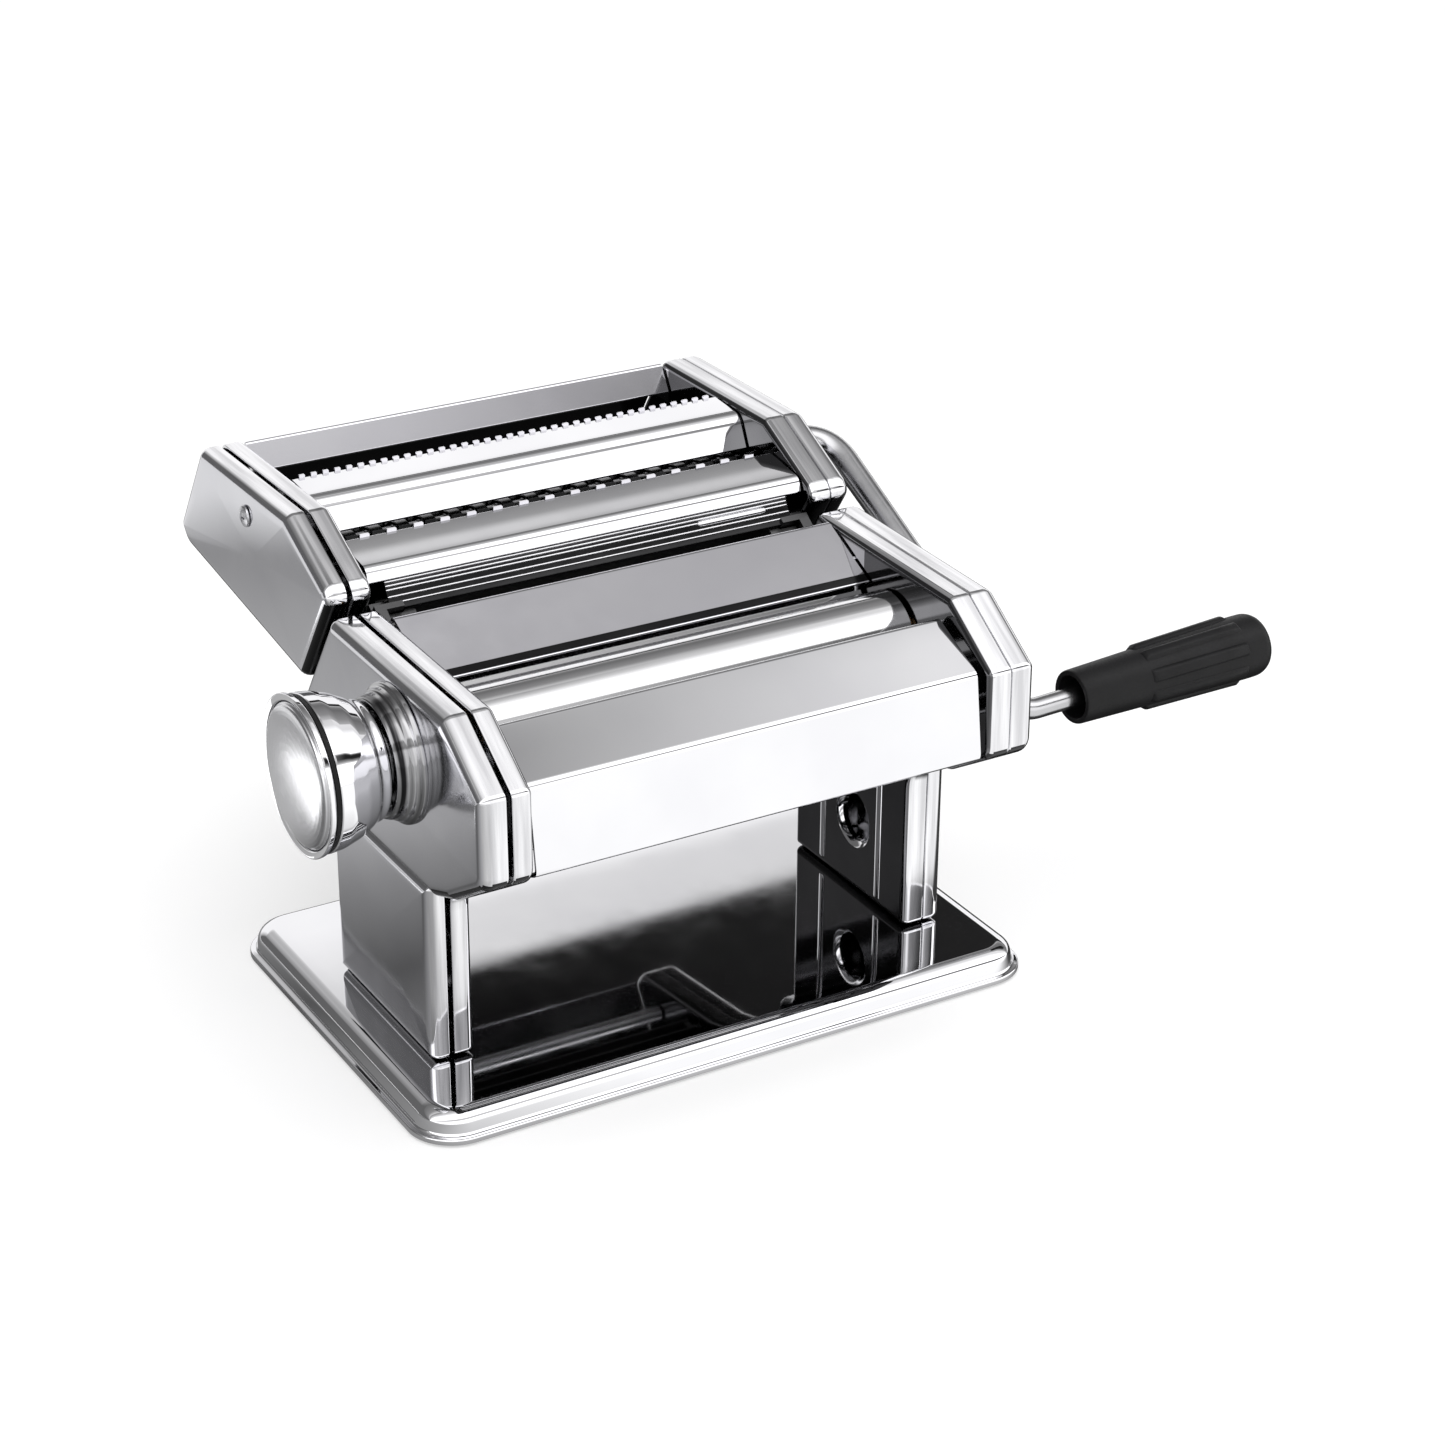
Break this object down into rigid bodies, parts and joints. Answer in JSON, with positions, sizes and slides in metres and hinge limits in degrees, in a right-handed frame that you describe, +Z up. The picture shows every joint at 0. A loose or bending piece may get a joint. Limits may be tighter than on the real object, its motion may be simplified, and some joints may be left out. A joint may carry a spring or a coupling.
{
  "type": "pasta roller machine",
  "caption": "Table-top pasta roller with smooth adjustable rollers between two legs, a slide-on double cutter behind the hopper, a thickness knob and a removable cranked handle.",
  "frame": {"origin": "bottom centre of the whole object's box, on the surface the rubber feet stand on", "axes": "+X along the rollers towards the crank, +Y from the hopper's front cover to the cutter at the back, +Z up"},
  "size_m": [0.3479, 0.2204, 0.1534],
  "materials": {
    "chrome": "mirror-polished chromed steel sheet",
    "brushed_steel": "plain drawn or rolled steel, satin",
    "roller_steel": "ground and polished roller steel",
    "gear_steel": "dark oiled steel",
    "nylon": "off-white moulded plastic",
    "bronze": "plain bearing bronze",
    "black_plastic": "black moulded plastic, satin",
    "rubber": "black rubber"
  },
  "bodies": {
    "machine_frame": {"base_plate": "chrome", "front_left_foot": "rubber", "front_right_foot": "rubber", "rear_left_foot": "rubber", "rear_right_foot": "rubber", "left_frame_plate": "chrome", "right_frame_plate": "chrome", "left_head_cover": "chrome", "right_head_cover": "chrome", "left_leg_cover": "chrome", "right_leg_cover": "chrome", "front_cover": "chrome", "hopper_plate": "chrome", "rear_cover": "brushed_steel", "rear_scraper": "brushed_steel", "front_tie_rod": "brushed_steel", "rear_tie_rod": "brushed_steel", "left_roller_bush": "bronze", "right_roller_bush": "bronze", "regulator_collar": "chrome", "index_pin": "brushed_steel", "left_mounting_rail": "brushed_steel", "right_mounting_rail": "brushed_steel"},
    "roller_carriage": {"left_eccentric_bush": "bronze", "right_eccentric_bush": "bronze", "front_scraper": "brushed_steel"},
    "front_smooth_roller": {"front_roller": "roller_steel", "front_roller_gear": "gear_steel"},
    "rear_smooth_roller": {"rear_roller": "roller_steel", "rear_roller_gear": "gear_steel"},
    "regulator": {"regulator_shaft": "brushed_steel", "knob_spring": "brushed_steel"},
    "regulator_knob": {"knob_body": "chrome", "knob_cap": "chrome"},
    "cutter": {"cutter_left_frame": "chrome", "cutter_right_frame": "chrome", "cutter_left_cover": "chrome", "cutter_right_cover": "chrome", "cutter_rear_plate": "chrome", "cutter_middle_plate": "chrome", "cutter_front_plate": "chrome", "cutter_mount_bracket": "brushed_steel", "cutter_front_tie_rod": "brushed_steel", "cutter_rear_tie_rod": "brushed_steel", "cutter_left_screw": "brushed_steel", "cutter_right_screw": "brushed_steel", "wide_socket_bush": "black_plastic", "fine_socket_bush": "black_plastic", "wide_comb": "brushed_steel", "fine_comb": "brushed_steel"},
    "wide_drive": {"wide_drive_roller": "roller_steel", "wide_drive_gear": "nylon"},
    "wide_idle": {"wide_idle_roller": "roller_steel", "wide_idle_gear": "nylon"},
    "fine_drive": {"fine_drive_roller": "roller_steel", "fine_drive_gear": "nylon"},
    "fine_idle": {"fine_idle_roller": "roller_steel", "fine_idle_gear": "nylon"},
    "crank": {"crank_arm": "chrome"},
    "grip": {"crank_grip": "black_plastic"}
  },
  "joints": [
    {"name": "regulator_turn", "type": "hinge", "parent": "machine_frame", "child": "regulator", "pos_m": [-0.14793, -0.05677, 0.109], "axis": [1, 0, 0], "range_deg": [0, 288]},
    {"name": "knob_pull", "type": "slide", "parent": "regulator", "child": "regulator_knob", "axis": [-1, 0, 0], "range_m": [0, 0.005], "stiffness_N_per_m": 1200, "springref_m": -0.004},
    {"name": "carriage_slide", "type": "slide", "parent": "machine_frame", "child": "roller_carriage", "axis": [0, -1, 0], "range_m": [0, 0.0024]},
    {"name": "rear_roller_turn", "type": "hinge", "parent": "machine_frame", "child": "rear_smooth_roller", "pos_m": [-0.04793, -0.02816, 0.109], "axis": [1, 0, 0], "continuous": true},
    {"name": "front_roller_turn", "type": "hinge", "parent": "roller_carriage", "child": "front_smooth_roller", "pos_m": [-0.04793, -0.05677, 0.109], "axis": [1, 0, 0], "continuous": true},
    {"name": "cutter_slide", "type": "slide", "parent": "machine_frame", "child": "cutter", "axis": [0, -0.5675, 0.8234], "range_m": [0, 0.06]},
    {"name": "wide_drive_turn", "type": "hinge", "parent": "cutter", "child": "wide_drive", "pos_m": [-0.04793, 0.03324, 0.13], "axis": [1, 0, 0], "continuous": true},
    {"name": "wide_idle_turn", "type": "hinge", "parent": "cutter", "child": "wide_idle", "pos_m": [-0.04793, 0.01623, 0.13], "axis": [1, 0, 0], "continuous": true},
    {"name": "fine_drive_turn", "type": "hinge", "parent": "cutter", "child": "fine_drive", "pos_m": [-0.04793, 0.05423, 0.13], "axis": [1, 0, 0], "continuous": true},
    {"name": "fine_idle_turn", "type": "hinge", "parent": "cutter", "child": "fine_idle", "pos_m": [-0.04793, 0.07124, 0.13], "axis": [1, 0, 0], "continuous": true},
    {"name": "crank_pull_out", "type": "slide", "parent": "fine_drive", "child": "crank", "axis": [1, 0, 0], "range_m": [0, 0.03]},
    {"name": "grip_spin", "type": "hinge", "parent": "crank", "child": "grip", "pos_m": [0.07666, -0.05953, 0.07153], "axis": [0.9993, 0.0326, 0.0168], "continuous": true}
  ],
  "couplings": [
    {"joint": "regulator_turn", "follows": "carriage_slide", "rad_per_m": 2094.2},
    {"joint": "front_roller_turn", "follows": "rear_roller_turn", "ratio": -1},
    {"joint": "wide_idle_turn", "follows": "wide_drive_turn", "ratio": -1},
    {"joint": "fine_idle_turn", "follows": "fine_drive_turn", "ratio": -1}
  ]
}
